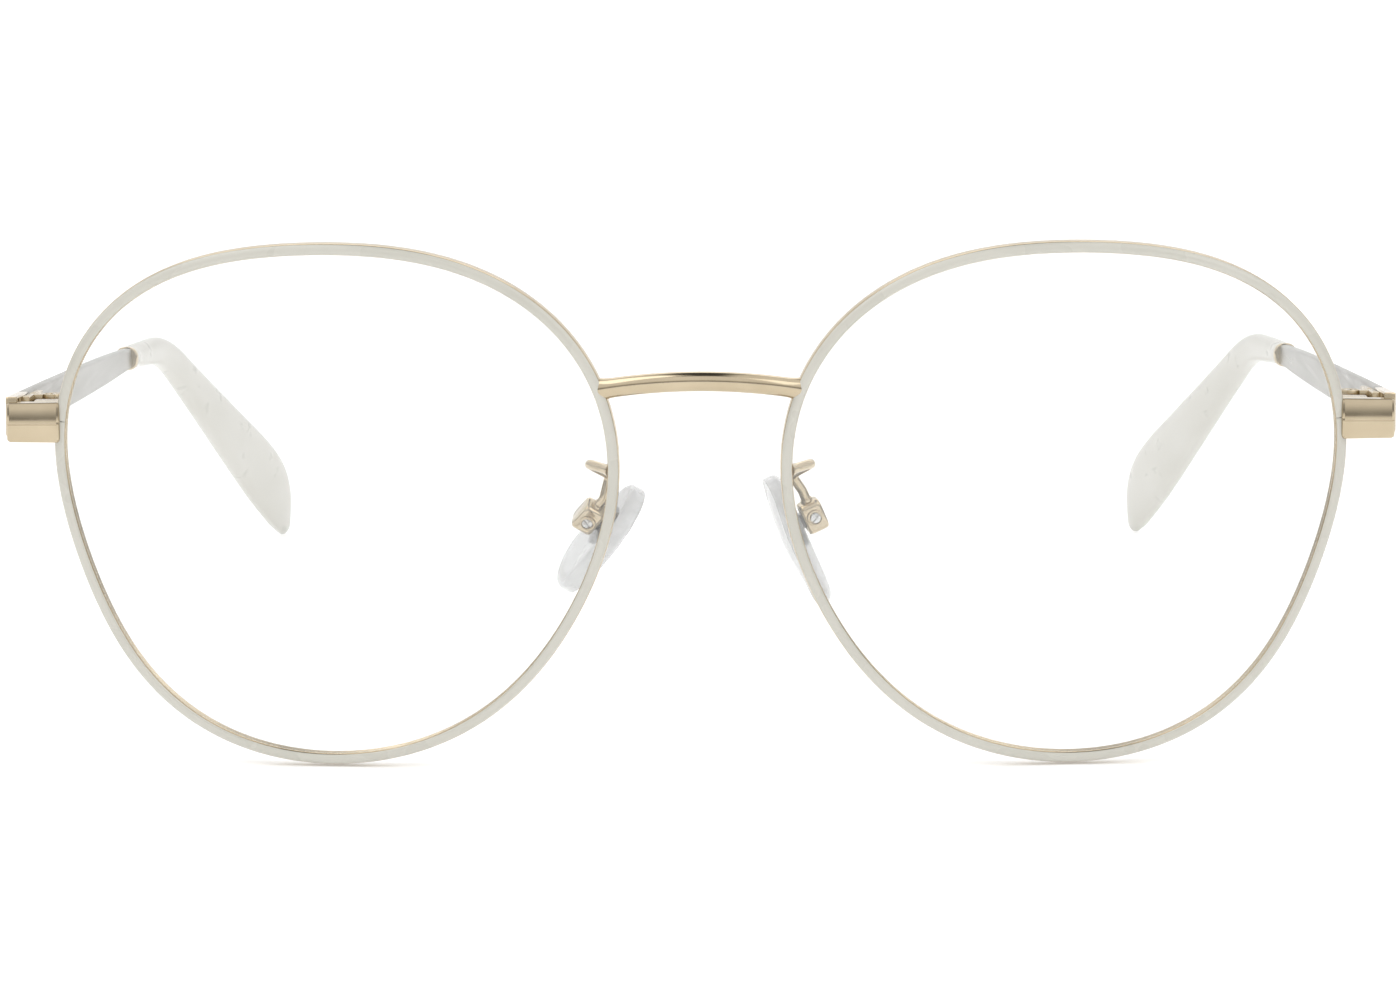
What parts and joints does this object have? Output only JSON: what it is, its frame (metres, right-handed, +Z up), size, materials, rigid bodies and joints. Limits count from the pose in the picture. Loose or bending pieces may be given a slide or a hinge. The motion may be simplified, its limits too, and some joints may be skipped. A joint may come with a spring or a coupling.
{
  "type": "eyeglasses",
  "caption": "Wire-rim eyeglasses with rounded clear lenses, block end pieces, folding slim temples with acetate tips, an arched bridge and nose pads on arms.",
  "frame": {"origin": "middle of the glasses' box, on the table they stand on with the temples open", "axes": "+X to the wearer's left, -Y out of the front of the lenses and +Y back along the temples, +Z up"},
  "size_m": [0.14, 0.1402, 0.0536],
  "materials": {
    "rim_enamel": "glossy cream enamel on metal wire",
    "lens_clear": "clear polished lens",
    "gold_metal": "pale gold plating, polished",
    "temple_metal": "satin silver-grey metal",
    "screw_steel": "bright turned steel",
    "tip_acetate": "polished cream acetate",
    "pad_silicone": "clear soft silicone",
    "pad_insert": "clear moulded plastic"
  },
  "bodies": {
    "front": {"eye_rim_left": "rim_enamel", "eye_rim_right": "rim_enamel", "lens_left": "lens_clear", "lens_right": "lens_clear", "rim_lock_upper_left": "gold_metal", "rim_lock_upper_right": "gold_metal", "rim_lock_lower_left": "gold_metal", "rim_lock_lower_right": "gold_metal", "rim_lock_screw_left": "screw_steel", "rim_lock_screw_right": "screw_steel", "end_piece_left": "gold_metal", "end_piece_right": "gold_metal", "hinge_front_left": "gold_metal", "hinge_front_right": "gold_metal", "hinge_screw_left": "screw_steel", "hinge_screw_right": "screw_steel", "pad_arm_left": "gold_metal", "pad_arm_right": "gold_metal", "pad_box_left": "gold_metal", "pad_box_right": "gold_metal", "pad_screw_left": "screw_steel", "pad_screw_right": "screw_steel", "bridge": "gold_metal"},
    "temple_left": {"hinge_back_left": "gold_metal", "temple_bar_left": "temple_metal", "tip_ring_left": "gold_metal", "temple_tip_left": "tip_acetate"},
    "temple_right": {"hinge_back_right": "gold_metal", "temple_bar_right": "temple_metal", "tip_ring_right": "gold_metal", "temple_tip_right": "tip_acetate"},
    "pad_left": {"nose_pad_left": "pad_silicone", "pad_insert_left": "pad_insert"},
    "pad_right": {"nose_pad_right": "pad_silicone", "pad_insert_right": "pad_insert"}
  },
  "joints": [
    {"name": "temple_left_fold", "type": "hinge", "parent": "front", "child": "temple_left", "pos_m": [0.0661, -0.0573, 0.03513], "axis": [0, 0.075, 0.9972], "range_deg": [0, 85]},
    {"name": "temple_right_fold", "type": "hinge", "parent": "front", "child": "temple_right", "pos_m": [-0.0661, -0.0573, 0.03513], "axis": [0, -0.075, -0.9972], "range_deg": [0, 78]},
    {"name": "pad_left_rock", "type": "hinge", "parent": "front", "child": "pad_left", "pos_m": [0.0114, -0.0614, 0.0248], "axis": [-0.1971, 0.9781, 0.0671], "range_deg": [-8, 8]},
    {"name": "pad_right_rock", "type": "hinge", "parent": "front", "child": "pad_right", "pos_m": [-0.0114, -0.0614, 0.0248], "axis": [-0.0892, -0.8645, -0.4946], "range_deg": [-8, 8]}
  ]
}
